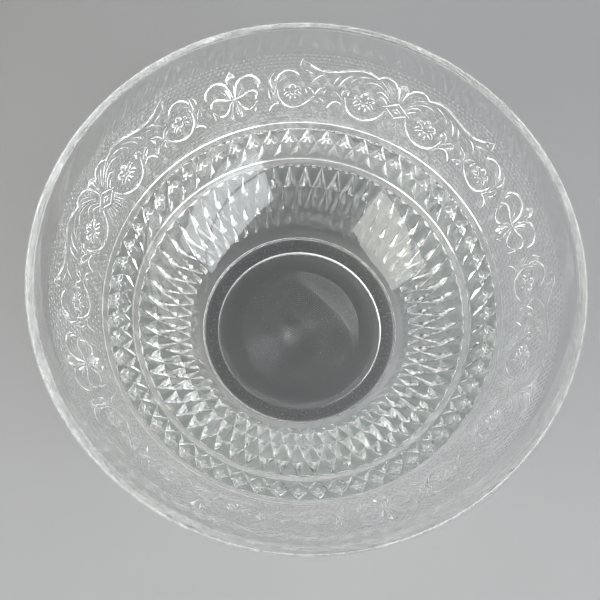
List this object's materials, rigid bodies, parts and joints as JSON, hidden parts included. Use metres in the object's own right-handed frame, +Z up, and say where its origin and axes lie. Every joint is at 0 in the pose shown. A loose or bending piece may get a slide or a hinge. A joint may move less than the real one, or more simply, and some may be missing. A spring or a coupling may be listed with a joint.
{
  "type": "punch bowl",
  "caption": "Round clear pressed-glass punch bowl: flaring wall on a low foot ring, smooth inside, with beads, pointed diamonds and flutes outside.",
  "frame": {"origin": "centre of the foot ring's resting plane", "axes": "+Z up along the bowl's axis; +X and +Y level"},
  "size_m": [0.28, 0.2798, 0.1185],
  "materials": {
    "clear_glass": "clear pressed glass, fire-polished, with a faint grey-green tint"
  },
  "bodies": {
    "root": {"bowl": "clear_glass"}
  },
  "joints": []
}
